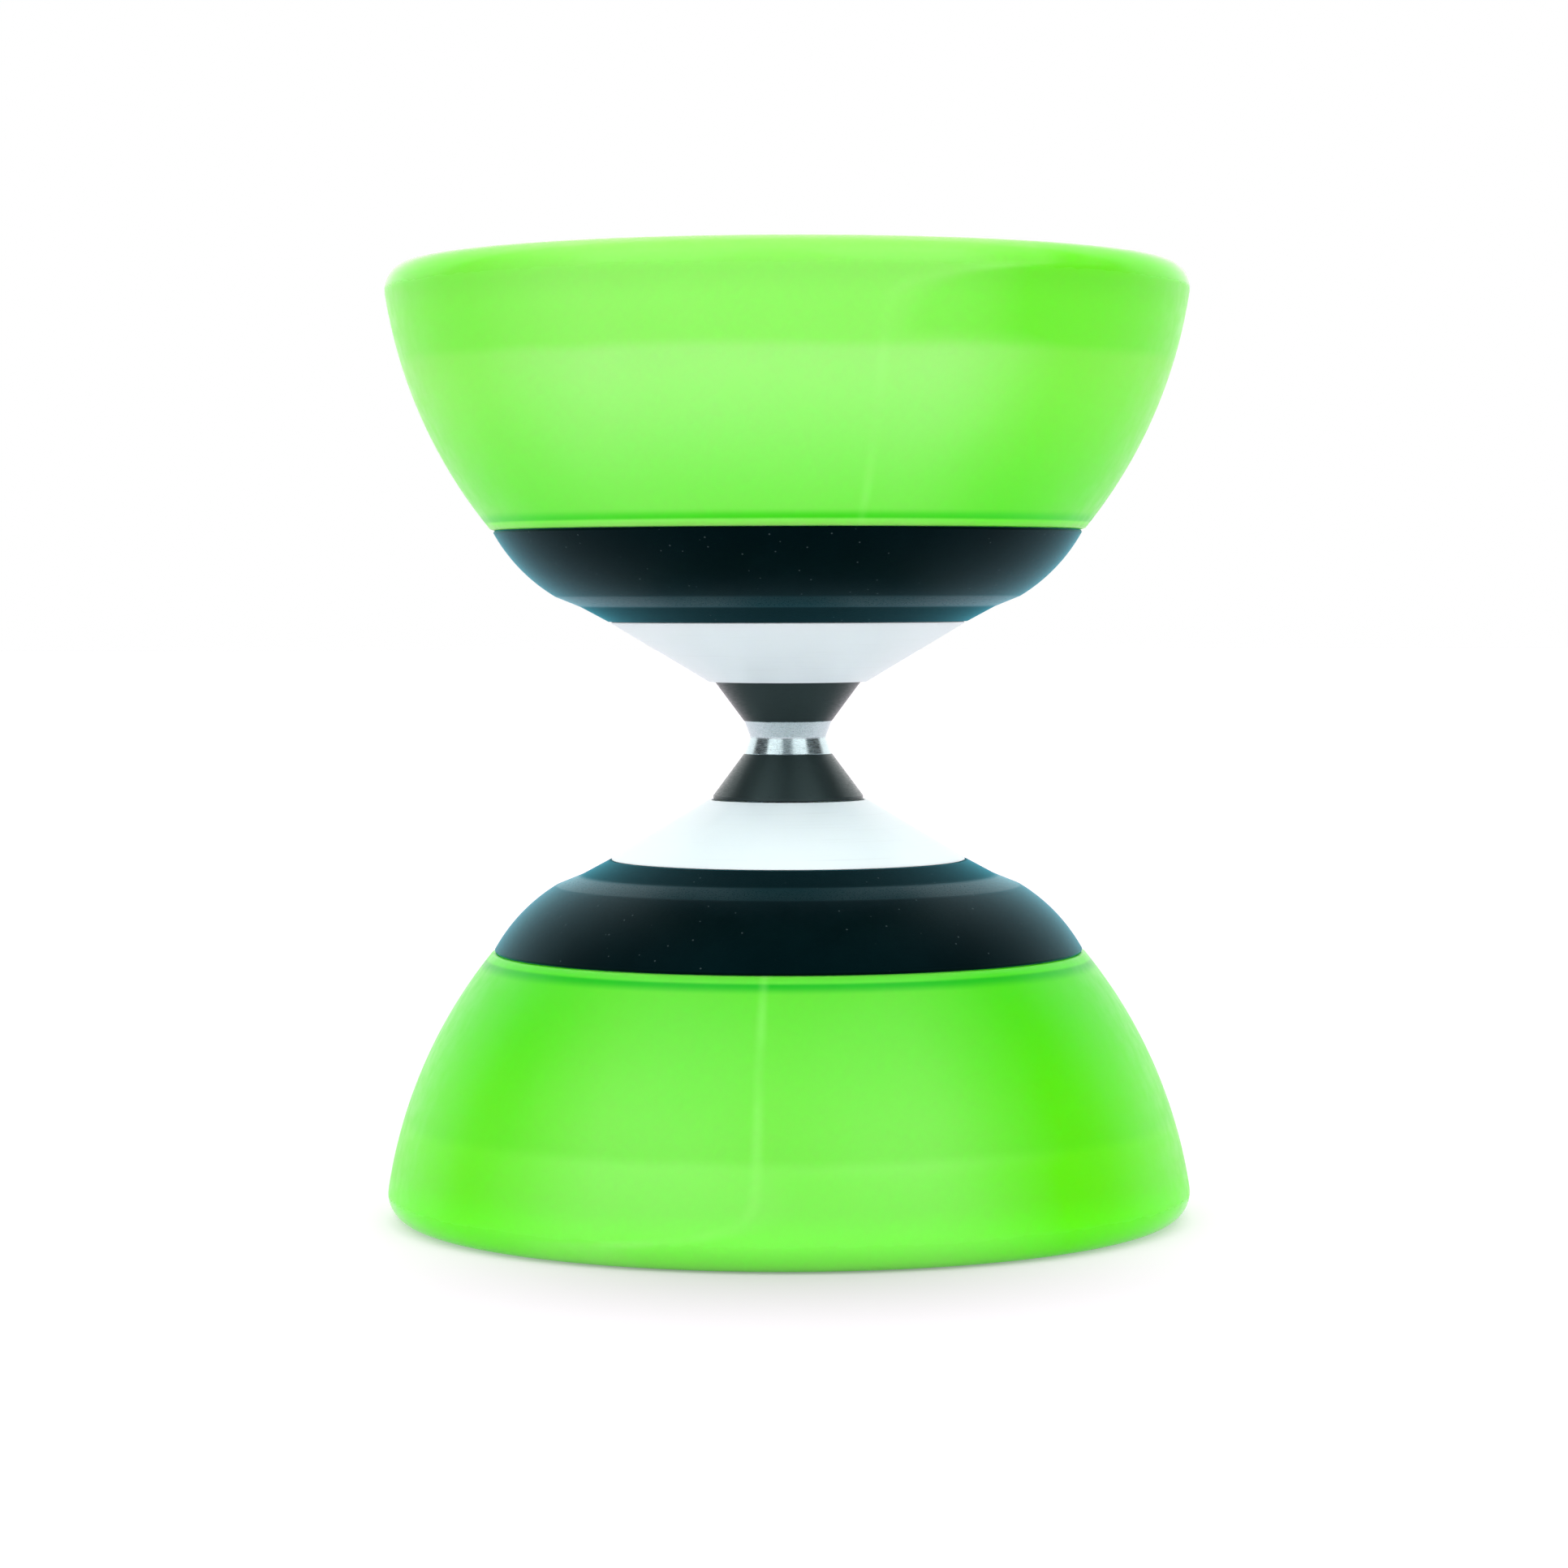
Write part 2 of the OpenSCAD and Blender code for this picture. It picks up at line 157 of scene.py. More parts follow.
def stands_for(piece, node, body, slot, *materials):
    """Puts a piece in the place of a CAD node, on that node's body."""
    for m in materials:
        piece.data.materials.append(m)
    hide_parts(node)
    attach(piece, body)
    return piece


# ---------------------------------------------------------------- shader helpers

def new_material(name, **inputs):
    """A Principled material with values set on the shader's own sockets."""
    mat = bpy.data.materials.new(name)
    mat.use_nodes = True
    shader = mat.node_tree.nodes["Principled BSDF"]
    for key, value in inputs.items():
        shader.inputs[key.replace("_", " ")].default_value = value
    return mat, shader


def add(mat, kind, settings=None, **inputs):
    """Adds a node. An input is a number, a colour, or another node's output socket."""
    node = mat.node_tree.nodes.new(kind)
    for key, value in (settings or {}).items():
        setattr(node, key, value)
    for key, value in inputs.items():
        socket = node.inputs[int(key[1:])] if key[0] == "i" and key[1:].isdigit() else \
            node.inputs[key.replace("_", " ")]
        if isinstance(value, bpy.types.NodeSocket):
            mat.node_tree.links.new(value, socket)
        else:
            socket.default_value = value
    return node


def maths(mat, operation, a, b=0.0, c=0.0):
    """A Math node's result."""
    return add(mat, "ShaderNodeMath", {"operation": operation}, i0=a, i1=b, i2=c).outputs[0]


def ramp(mat, value, low, high, to_low=0.0, to_high=1.0):
    """value from low..high mapped smoothly to to_low..to_high."""
    node = add(mat, "ShaderNodeMapRange", {"interpolation_type": "SMOOTHSTEP"}, Value=value,
               From_Min=low, From_Max=high, To_Min=to_low, To_Max=to_high)
    return node.outputs[0]


def mix(mat, factor, a, b):
    """A colour between a and b."""
    node = add(mat, "ShaderNodeMix", {"data_type": "RGBA"})
    for socket, value in ((node.inputs[0], factor), (node.inputs[6], a), (node.inputs[7], b)):
        if isinstance(value, bpy.types.NodeSocket):
            mat.node_tree.links.new(value, socket)
        else:
            socket.default_value = value
    return node.outputs[2]


def multiplied(mat, factor, a, b):
    """Colour a, multiplied by colour b as far as the factor says."""
    node = add(mat, "ShaderNodeMix", {"data_type": "RGBA", "blend_type": "MULTIPLY"})
    mat.node_tree.links.new(factor, node.inputs[0])
    mat.node_tree.links.new(a, node.inputs[6])
    node.inputs[7].default_value = b
    return node.outputs[2]


def position(mat):
    """x, y and z in the object's own frame, in millimetres, z measured from the axle's middle."""
    coords = add(mat, "ShaderNodeTexCoord").outputs["Object"]
    moved = add(mat, "ShaderNodeVectorMath", {"operation": "SUBTRACT"}, i0=coords,
                i1=(0, 0, HALF_H * MM)).outputs[0]
    scaled = add(mat, "ShaderNodeVectorMath", {"operation": "SCALE"}, i0=moved, Scale=1 / MM)
    split = add(mat, "ShaderNodeSeparateXYZ", Vector=scaled.outputs[0])
    return scaled.outputs[0], split.outputs[0], split.outputs[1], split.outputs[2]


def noise(mat, vector, per_mm, detail=2.0, roughness=0.5):
    """Noise with per_mm features a millimetre, 0 to 1."""
    node = add(mat, "ShaderNodeTexNoise", Vector=vector, Scale=per_mm, Detail=detail,
               Roughness=roughness)
    return node.outputs[0]


def bump(mat, height, depth_mm, strength=1.0, normal=None):
    """A bump whose height input of 1 stands depth_mm high."""
    node = add(mat, "ShaderNodeBump", Height=height, Distance=depth_mm * MM, Strength=strength)
    if normal:
        mat.node_tree.links.new(normal, node.inputs["Normal"])
    return node.outputs[0]


def plug(mat, value, shader, socket):
    """Feeds a shader's socket."""
    mat.node_tree.links.new(value, shader.inputs[socket])


# ---------------------------------------------------------------- cups

# Outer edge of the foot, and the top of the floor inside
FOOT = (43.2, 30.7)
FLOOR_Z = 32.0
# Radius of the wall's bulge, seen from the side, and the wall's thickness
BULGE = 70.6
WALL = 2.9
# Thickness and height of the band under the rim, and of the ramp that leads into it
BAND = 5.8
BAND_H = 15.0
RAMP_H = 1.6
# Roundings of the rim outside and inside, the rim's radius, and the hole in the floor
RIM_ROUND = 3.8
LIP_ROUND = 1.2
HOLE_R = 36.95
RIM_R = 58.45
RIM_C = (RIM_R - RIM_ROUND, HALF_H - RIM_ROUND)
BULGE_C = arc_centre(FOOT, BULGE, RIM_C, BULGE - RIM_ROUND)


def wall_r(z, inset=0.0):
    """Radius of the cup's wall at height z, inset from its outer face."""
    return BULGE_C[0] + chord(BULGE - inset, z - BULGE_C[1])


def cup_outline():
    """Section of a cup: floor, bulging wall, and the thick band under the rim."""
    inner, band = BULGE - WALL, BULGE - BAND
    ramp_z = HALF_H - BAND_H
    lip_c = (wall_r(HALF_H - LIP_ROUND, BAND) + LIP_ROUND, HALF_H - LIP_ROUND)

    def angle(r, z):
        return math.asin((z - BULGE_C[1]) / r)

    foot_a = bearing_of(BULGE_C, FOOT)
    rim_a = bearing_of(BULGE_C, RIM_C)
    ramp_a, band_a = angle(inner, ramp_z), angle(band, ramp_z + RAMP_H)
    lip_a, floor_a = angle(band, lip_c[1]), angle(inner, FLOOR_Z + 0.8)
    foot_edge = [(FOOT[0] - 0.5, FOOT[1]), (FOOT[0] - 0.15, FOOT[1] + 0.08)]
    inner_ramp = rounded([(wall_r(ramp_z + 3, BAND), ramp_z + 3),
                          (wall_r(ramp_z + RAMP_H, BAND), ramp_z + RAMP_H, 1.0),
                          (wall_r(ramp_z, WALL), ramp_z, 1.0),
                          (wall_r(ramp_z - 2, WALL), ramp_z - 2)])
    corner = (wall_r(FLOOR_Z, WALL), FLOOR_Z, 0.8)
    floor = rounded([(wall_r(FLOOR_Z + 1.5, WALL), FLOOR_Z + 1.5), corner,
                     (HOLE_R, FLOOR_Z), (HOLE_R, FOOT[1])])
    return (
        foot_edge
        + arc(BULGE_C, BULGE, foot_a + 0.004, rim_a, 44)
        + arc(RIM_C, RIM_ROUND, rim_a + 0.1, math.pi / 2, 16)
        + arc(lip_c, LIP_ROUND, math.pi / 2, math.pi + lip_a, 8)
        + arc(BULGE_C, band, lip_a, band_a, 14)[1:-4]
        + inner_ramp
        + arc(BULGE_C, inner, ramp_a, floor_a, 30)[3:-2]
        + floor[:-1]
        + [(HOLE_R, FOOT[1])]
    )


# Greens of a cup's plastic with light and shade painted in, each side its own lit or shaded copy, darker
# towards the foot with painted shade: thin wall at the foot and at its top, then the thick band and the
# rim
CUP_GREENS_AND_LIGHT = {
    "upper": ((0.20, 0.76, 0.08, 1), (0.34, 0.78, 0.19, 1), (0.27, 0.77, 0.12, 1), (0.25, 0.70, 0.11, 1)),
    "lower": ((0.12, 0.64, 0.03, 1), (0.20, 0.73, 0.08, 1), (0.24, 0.78, 0.11, 1), (0.24, 0.90, 0.10, 1)),
}
# The bright edge of a cup's foot, painted light carried through the floor, and the dark line just above
# it, a painted shadow of the hub seen through the shell
CUP_FOOT_LIGHT_AND_SHADOW = {
    "upper": ((0.25, 0.90, 0.11, 1), (0.06, 0.67, 0.01, 1)),
    "lower": ((0.11, 0.66, 0.04, 1), (0.01, 0.47, 0.01, 1)),
}
# Azimuth of the weld line, how far it sweeps round in the rim's band, and how clear it is
CUP_FLOW = {"upper": (13.2, 26.0, 0.16), "lower": (-4.5, -24.0, 0.22)}
# Heights between which the weld line sweeps round, and how late it does so
SWEEP_Z = (50.0, 66.3)
SWEEP_POWER = 9.0
# Width of the weld line in degrees, and how much it widens by the end of its sweep
LINE_WIDTH = 0.9
LINE_SPREAD = 8.0
LINE_COLOUR = (0.42, 0.95, 0.26, 1)
# How much richer the colour is in the band beside the weld line, and, as painted shade, on the right and
# on the left
CUP_RICH_AND_SIDE_SHADE = {"upper": (0.40, 0.95, 0.75), "lower": (0.15, 1.0, 1.0)}
# What the richest colour is multiplied by
CUP_DEEP = {"upper": (0.55, 0.97, 0.20, 1), "lower": (0.52, 0.97, 0.05, 1)}
# Azimuths over which the painted shade on the right and left sides grows, and over which both fade at the
# back
SIDE_SHADE_RIGHT = (17.0, 45.0)
SIDE_SHADE_LEFT = (-25.0, -55.0)
RICH_BACK = (105.0, 165.0)
# Heights over which the rim turns from satin to gloss
GLOSS_Z = (65.2, 66.2)


def cup_green(mat, side, place, height):
    """Greens of a cup blended by height, from its foot to its rim, with light and shade painted in."""
    wander = maths(mat, "MULTIPLY_ADD", noise(mat, place, 0.05, 2), 1.2, -0.6)
    level = maths(mat, "ADD", height, wander)
    low_wall, high_wall, band, rim = CUP_GREENS_AND_LIGHT[side]
    edge, dark = CUP_FOOT_LIGHT_AND_SHADOW[side]
    band_z = HALF_H - BAND_H
    colour = mix(mat, ramp(mat, level, FOOT[1], band_z - 1), low_wall, high_wall)
    colour = mix(mat, ramp(mat, level, band_z - 0.5, band_z + 1.5), colour, band)
    colour = mix(mat, ramp(mat, level, band_z + 6, 66.0), colour, rim)
    # painted shadow of the hub just above the foot, then the foot's painted bright edge
    colour = mix(mat, ramp(mat, height, 32.0, 33.2, 1.0, 0.0), colour, dark)
    return mix(mat, ramp(mat, height, 31.5, 31.9, 1.0, 0.0), colour, edge)


def weld_line(mat, side, place, angle, height):
    """How far a point is from the weld line in degrees, and the line itself as a mask."""
    at, sweep, _ = CUP_FLOW[side]
    rise = add(mat, "ShaderNodeMapRange", Value=height, From_Min=SWEEP_Z[0],
               From_Max=SWEEP_Z[1]).outputs[0]
    up = maths(mat, "POWER", rise, SWEEP_POWER)
    off = maths(mat, "SUBTRACT", angle, maths(mat, "MULTIPLY_ADD", up, sweep, at))
    width = maths(mat, "MULTIPLY_ADD", up, LINE_SPREAD, LINE_WIDTH)
    line = ramp(mat, maths(mat, "DIVIDE", maths(mat, "ABSOLUTE", off), width), 0.0, 1.5, 1.0, 0.0)
    patchy = ramp(mat, noise(mat, place, 0.1, 3), 0.35, 0.65, 0.25, 0.9)
    return off, maths(mat, "MULTIPLY", line, patchy)


def cup_richness_and_side_shade(mat, side, place, angle, height, off):
    """Where the green is deeper: in the band beside the weld line, and round the sides, where it is
    painted shade.
    """
    beside, right, left = CUP_RICH_AND_SIDE_SHADE[side]
    rich = maths(mat, "MULTIPLY", ramp(mat, off, 0.0, 7.0), ramp(mat, off, 30.0, 60.0, 1.0, 0.3))
    rich = maths(mat, "MULTIPLY", rich, ramp(mat, height, 54.5, 57.5, 0.0, beside))
    # painted shade: deeper green round the right and left sides
    rich = maths(mat, "MULTIPLY_ADD", ramp(mat, angle, *SIDE_SHADE_RIGHT), right, rich)
    rich = maths(mat, "MULTIPLY_ADD", ramp(mat, angle, *SIDE_SHADE_LEFT), left, rich)
    round_back = ramp(mat, maths(mat, "ABSOLUTE", angle), *RICH_BACK, 1.0, 0.0)
    rich = maths(mat, "MULTIPLY", rich, round_back)
    cloud = ramp(mat, noise(mat, place, 0.03, 2, 0.5), 0.35, 0.65, -0.05, 0.05)
    clamped = {"operation": "ADD", "use_clamp": True}
    return add(mat, "ShaderNodeMath", clamped, i0=rich, i1=cloud).outputs[0]


def cup_material(side):
    """Translucent lime-green elastomer, with the weld line where the melt met, and light and shade
    painted into its greens.
    """
    mat, shader = new_material("cup_green_" + side, IOR=1.46, Subsurface_Weight=1.0,
                               Subsurface_Scale=5.0 * MM, Subsurface_Radius=(0.45, 1.0, 0.3),
                               Specular_IOR_Level=0.15)
    place, x, y, z = position(mat)
    height = maths(mat, "ABSOLUTE", z)
    # degrees round the axle, with 0 in front
    angle = maths(mat, "MULTIPLY", maths(mat, "ARCTAN2", x, maths(mat, "MULTIPLY", y, -1.0)),
                  180 / math.pi)
    colour = cup_green(mat, side, place, height)
    off, line = weld_line(mat, side, place, angle, height)
    rich = cup_richness_and_side_shade(mat, side, place, angle, height, off)
    colour = multiplied(mat, rich, colour, CUP_DEEP[side])
    colour = mix(mat, maths(mat, "MULTIPLY", line, CUP_FLOW[side][2]), colour, LINE_COLOUR)
    plug(mat, colour, shader, "Base Color")
    normal = bump(mat, noise(mat, place, 3.0, 3), 0.012, 0.5)
    normal = bump(mat, noise(mat, place, 0.16, 2), 0.06, 0.5, normal)
    normal = bump(mat, line, 0.02, 0.5, normal)
    plug(mat, normal, shader, "Normal")
    # satin wall, glossy rim
    satin = ramp(mat, noise(mat, place, 0.4, 4), 0.3, 0.7, 0.28, 0.36)
    plug(mat, maths(mat, "MULTIPLY", satin, ramp(mat, height, *GLOSS_Z, 1.0, 0.5)), shader,
         "Roughness")
    return mat


# ---------------------------------------------------------------- hubs

# Corners of the hub's outside: its joint with the white cone, the band's edges and the dome's top
NOSE = (26.2, 17.4)
STEP = (30.2, NOSE[1] + (30.2 - NOSE[0]) / 1.86)
DOME = (33.9, 21.05)
DOME_TOP = (42.85, 30.3)
# Radius of the dome's bulge, seen from the side
DOME_R = 25.0
DOME_C = arc_centre(DOME_TOP, DOME_R, DOME, DOME_R)
# Thickness of the shell, and rounding of its top edge
HUB_T = 3.0
HUB_EDGE = 0.4
# Inner and outer radius of the ring that centres the cup's floor
RING = (34.5, 36.9)
# Hole for the shaft, and the boss round it
BORE_R = 2.55
BOSS_R = 8.0
# Radius and end of the spigot that the white cone sits on
SPIGOT = (10.0, 15.4)


def hub_outline():
    """Section of a hub: cone, flatter band and dome outside, a pocket inside."""
    dome_a = [bearing_of(DOME_C, p) for p in (DOME, DOME_TOP)]
    pocket_a = [bearing_of(DOME_C, STEP), bearing_of(DOME_C, DOME) + 0.035]
    pocket_z = NOSE[1] + HUB_T
    outside = [(BORE_R, SPIGOT[1]), (*SPIGOT, 0.3), (SPIGOT[0], NOSE[1])]
    outside += [(*NOSE, 0.15), (*STEP, 0.5), DOME]
    return (
        rounded(outside)
        + arc(DOME_C, DOME_R, dome_a[0], dome_a[1], 28)[1:]
        + arc((DOME_TOP[0] - HUB_EDGE, DOME_TOP[1]), HUB_EDGE, 0.35, math.pi / 2, 5)
        + [(RING[1], FOOT[1]), (RING[1], FLOOR_Z), (RING[0], FLOOR_Z)]
        + arc(DOME_C, DOME_R - HUB_T, pocket_a[1], pocket_a[0], 12)
        + [(NOSE[0] - 1, pocket_z), (BOSS_R, pocket_z), (BOSS_R, FLOOR_Z), (BORE_R, FLOOR_Z)]
    )


def hub_material():
    """Black nylon with a fine spark-eroded texture."""
    # the teal tints of the reflection and the sheen are a painted reflection colour on the hub's edges
    mat, shader = new_material("hub_black", IOR=1.5, Specular_IOR_Level=0.035,
                               Specular_Tint=(0.05, 0.85, 1.0, 1), Sheen_Weight=0.62,
                               Sheen_Roughness=0.3, Sheen_Tint=(0.13, 0.80, 1.0, 1))
    place, x, y, z = position(mat)
    sand = noise(mat, place, 4.5, 4, 0.6)
    fleck = add(mat, "ShaderNodeTexVoronoi", Vector=place, Scale=0.55).outputs[0]
    speck = ramp(mat, fleck, 0.05, 0.09, 1.0, 0.0)
    wear = ramp(mat, noise(mat, place, 0.09, 5, 0.6), 0.35, 0.75)
    colour = mix(mat, wear, (0.0002, 0.0020, 0.0026, 1), (0.0006, 0.0040, 0.0050, 1))
    colour = mix(mat, maths(mat, "MULTIPLY", speck, 0.5), colour, (0.06, 0.085, 0.09, 1))
    # the cone is worn dull, and the band between it and the dome is smooth, its lighter colour a painted
    # highlight
    height = maths(mat, "ABSOLUTE", z)
    step = (STEP[1] - 0.3, STEP[1] + 0.3)
    band = maths(mat, "MULTIPLY", ramp(mat, height, *step),
                 ramp(mat, height, DOME[1] - 0.1, DOME[1] + 0.1, 1.0, 0.0))
    colour = mix(mat, maths(mat, "MULTIPLY", band, 0.8), colour, (0.003, 0.012, 0.014, 1))
    plug(mat, colour, shader, "Base Color")
    rough = ramp(mat, sand, 0.25, 0.75, 0.36, 0.48)
    rough = maths(mat, "ADD", rough, ramp(mat, height, *step, 0.3, 0.0))
    rough = maths(mat, "MULTIPLY_ADD", band, -0.12, rough)
    plug(mat, rough, shader, "Roughness")
    plug(mat, bump(mat, sand, 0.03, 0.5), shader, "Normal")
    return mat


# ---------------------------------------------------------------- white cones

# Edge of a cone's small end, the recess in it, and the recess's floor
CONE = (11.55, 8.6)
RECESS_R = 11.2
SEAT_Z = 9.8


def cone_outline():
    """Section of a white cone, recessed at its small end for the sleeve."""
    return rounded([(BORE_R, SEAT_Z), (RECESS_R, SEAT_Z, 0.2), (RECESS_R, CONE[1], 0.08),
                    (*CONE, 0.1), (*NOSE, 0.25), (SPIGOT[0], NOSE[1]), SPIGOT,
                    (BORE_R, SPIGOT[1])])


def cone_material():
    """White acetal, polished by the string near its small end."""
    mat, shader = new_material("cone_white", IOR=1.48, Subsurface_Weight=0.35,
                               Subsurface_Scale=1.2 * MM, Subsurface_Radius=(1.0, 1.0, 0.9))
    place, x, y, z = position(mat)
    cloud = noise(mat, place, 0.08, 4)
    colour = mix(mat, ramp(mat, cloud, 0.3, 0.7), (0.80, 0.91, 0.93, 1), (0.82, 0.93, 0.95, 1))
    # faint grey rub marks run round the cone
    squeezed = add(mat, "ShaderNodeVectorMath", {"operation": "MULTIPLY"}, i0=place,
                   i1=(0.05, 0.05, 5.0)).outputs[0]
    rub = ramp(mat, noise(mat, squeezed, 1.0, 4, 0.6), 0.55, 0.8)
    colour = mix(mat, maths(mat, "MULTIPLY", rub, 0.2), colour, (0.55, 0.60, 0.60, 1))
    plug(mat, colour, shader, "Base Color")
    plug(mat, ramp(mat, maths(mat, "ABSOLUTE", z), CONE[1], NOSE[1], 0.3, 0.42), shader, "Roughness")
    plug(mat, bump(mat, noise(mat, place, 2.0, 3), 0.01, 0.5), shader, "Normal")
    return mat


# ---------------------------------------------------------------- axle sleeve

# Half length and largest radius, end of the bare groove, and the bearing seat's radius
SLEEVE_END = 8.95
SLEEVE_R = 10.95
GROOVE_Z = 2.35
SEAT_R = 6.5
# Where the bearing seat ends inside, which is also where the shaft's clutch race ends
RACE_Z = 4.6


def sleeve_outline():
    """Section of the sleeve that the string runs on, z from the sleeve's own middle."""
    upper = [(5.55, 0.12, 0.25), (6.34, 2.3, 0.03), (6.42, 2.38, 0.03),
             (SLEEVE_R, 8.5, 0.06), (SLEEVE_R, SLEEVE_END, 0.12), (SEAT_R, SLEEVE_END, 0.1),
             (SEAT_R, RACE_Z), (5.0, RACE_Z)]
    lower = [(p[0], -p[1], *p[2:]) for p in reversed(upper)]
    return rounded(upper + lower)


def sleeve_materials():
    """Black anodised aluminium, and the bare metal of the string groove."""
    out = []
    kinds = (("sleeve_anodised", (0.024, 0.042, 0.042, 1), 0.7, 0.40),
             ("sleeve_bare", (0.50, 0.60, 0.62, 1), 1.0, 0.26))
    for name, colour, metal, rough in kinds:
        mat, shader = new_material(name, Metallic=metal, Anisotropic=0.7, Anisotropic_Rotation=0.25)
        round_axis = add(mat, "ShaderNodeTangent", {"direction_type": "RADIAL", "axis": "Z"})
        plug(mat, round_axis.outputs[0], shader, "Tangent")
        place, x, y, z = position(mat)
        turned_z = add(mat, "ShaderNodeVectorMath", {"operation": "MULTIPLY"}, i0=place,
                       i1=(0.12, 0.12, 1.0)).outputs[0]
        lines = noise(mat, turned_z, 7.0, 3, 0.6)
        pits = ramp(mat, noise(mat, place, 3.5, 3, 0.6), 0.6, 0.72)
        dark = tuple(c * 0.6 for c in colour[:3]) + (1,)
        plug(mat, mix(mat, maths(mat, "MULTIPLY", pits, 0.5), colour, dark), shader, "Base Color")
        plug(mat, ramp(mat, lines, 0.3, 0.7, rough - 0.06, rough + 0.08), shader, "Roughness")
        normal = bump(mat, lines, 0.012, 0.6)
        plug(mat, bump(mat, pits, -0.02, 0.4, normal), shader, "Normal")
        out.append(mat)
    return out


def build_sleeve():
    """The sleeve, with bare metal where the groove is."""
    outline = [(r, z + SLEEVE_OFF) for r, z in sleeve_outline()]
    sleeve = turned("axle_sleeve_turned", outline, 192, sharp_deg=20)
    stands_for(sleeve, "axle_sleeve", BODY["axle_sleeve"], "sleeve_black", *sleeve_materials())
    middle = HALF_H + SLEEVE_OFF
    for face in sleeve.data.polygons:
        z = face.center.z / MM - middle
        r = math.hypot(face.center.x, face.center.y) / MM
        if abs(z) < GROOVE_Z + 0.04 and r > 5.3:
            face.material_index = 1


# ---------------------------------------------------------------- clamp discs

# Top of the plate, and its edge's radii at floor and top, which clear the cup's wall
DISC_TOP = 33.3
DISC_GAP = 0.25
DISC_SLOPE = 0.75
DISC_LOW_R = wall_r(FLOOR_Z, WALL) - DISC_GAP
DISC_EDGE = (DISC_LOW_R, DISC_LOW_R + (DISC_TOP - FLOOR_Z) * DISC_SLOPE)
# Inner radius, outer radius and top of the low ring
DISC_RING = (33.0, 35.0, DISC_TOP + 1.4)
# Radius and top of the boss
DISC_BOSS = (9.0, 36.0)
DISC_RIBS = 8
RIB_T = 2.0


def disc_outline():
    """Section of a clamp disc: plate, low ring near the edge, boss in the middle."""
    ring_in, ring_out, ring_top = DISC_RING
    rows = 30
    plate = [(ring_in + (DISC_BOSS[0] - ring_in) * i / rows, DISC_TOP) for i in range(1, rows)]
    return rounded([(BORE_R, FLOOR_Z), (DISC_EDGE[0], FLOOR_Z, 0.15),
                    (DISC_EDGE[1], DISC_TOP, 0.2), (ring_out, DISC_TOP, 0.3),
                    (ring_out, ring_top, 0.3), (ring_in, ring_top, 0.3), (ring_in, DISC_TOP, 0.3)]
                   + plate
                   + [(DISC_BOSS[0], DISC_TOP, 0.5), (DISC_BOSS[0] - 0.3, DISC_BOSS[1], 0.4),
                      (BORE_R + 0.2, DISC_BOSS[1], 0.1), (BORE_R, DISC_BOSS[1] - 0.3)])


def disc_rib(angle, r, z):
    """Lifts the plate into radial ribs that slope from the boss down to the ring."""
    if z < DISC_TOP - 0.05 or r > DISC_RING[0] + 0.3 or r < DISC_BOSS[0] - 0.2:
        return r, z
    spacing = 2 * math.pi / DISC_RIBS
    off = abs((angle + spacing / 2) % spacing - spacing / 2) * r
    rise = min(1.0, max(0.0, (RIB_T / 2 + 0.25 - off) / 0.35))
    rise = rise * rise * (3 - 2 * rise)
    t = min(1.0, max(0.0, (r - DISC_BOSS[0]) / (DISC_RING[0] - DISC_BOSS[0])))
    top = (DISC_BOSS[1] - 0.4) * (1 - t) + DISC_RING[2] * t
    return r, max(z, z + (top - z) * rise)


def disc_material():
    """Black moulded plastic, satin, a little scuffed."""
    mat, shader = new_material("disc_black", IOR=1.5)
    place, x, y, z = position(mat)
    scuff = ramp(mat, noise(mat, place, 0.25, 5, 0.65), 0.45, 0.75)
    plug(mat, mix(mat, scuff, (0.012, 0.014, 0.015, 1), (0.028, 0.031, 0.032, 1)), shader, "Base Color")
    plug(mat, ramp(mat, scuff, 0.0, 1.0, 0.36, 0.52), shader, "Roughness")
    plug(mat, bump(mat, noise(mat, place, 2.5, 3), 0.02, 0.5), shader, "Normal")
    return mat


# ---------------------------------------------------------------- shaft, washers and nuts

SHAFT_R = 2.5
RACE_R = 3.0
STUD_R = 2.0
STUD_Z = 42.3
WASHER_Z = 36.0
NUT_Z = 37.0
NUT_H = 5.0
HEX_H = 3.6
NUT_FLAT = 4.0
NUT_CORNER = NUT_FLAT / math.cos(math.pi / 6)
COLLAR_R = 3.85
INSERT_R = 3.3
INSERT_Z = (40.4, 41.6)
SHAFT_END = 48.5
# Full radius of a thread, where it starts and ends, and its pitch
THREADS = ((SHAFT_R, 36.0, STUD_Z - 0.3, 0.8), (STUD_R, STUD_Z + 0.4, SHAFT_END - 0.4, 0.7))


def steel_material(name, colour, rough, marks_per_mm):
    """Plated or ground steel with fine marks and faint stains."""
    mat, shader = new_material(name, Metallic=1.0)
    place, x, y, z = position(mat)
    stain = ramp(mat, noise(mat, place, 0.5, 5, 0.6), 0.4, 0.75)
    dull = tuple(c * 0.72 for c in colour[:3]) + (1,)
    plug(mat, mix(mat, stain, colour, dull), shader, "Base Color")
    marks = noise(mat, place, marks_per_mm, 3, 0.6)
    plug(mat, ramp(mat, marks, 0.3, 0.7, rough - 0.07, rough + 0.1), shader, "Roughness")
    plug(mat, bump(mat, marks, 0.012, 0.5), shader, "Normal")
    return mat


def thread(angle, r, z):
    """Cuts the helical threads into the shaft's thin ends and its studs."""
    height = abs(z)
    for full, start, end, pitch in THREADS:
        if abs(r - full) < 0.01 and start <= height <= end:
            vee = abs(2 * ((z / pitch - angle / (2 * math.pi)) % 1.0) - 1)
            fade = min(1.0, (height - start) / 0.8, (end - height) / 0.6)
            return r - 0.55 * pitch * fade * min(1.0, max(0.0, 1.25 * vee - 0.12)), z
    return r, z


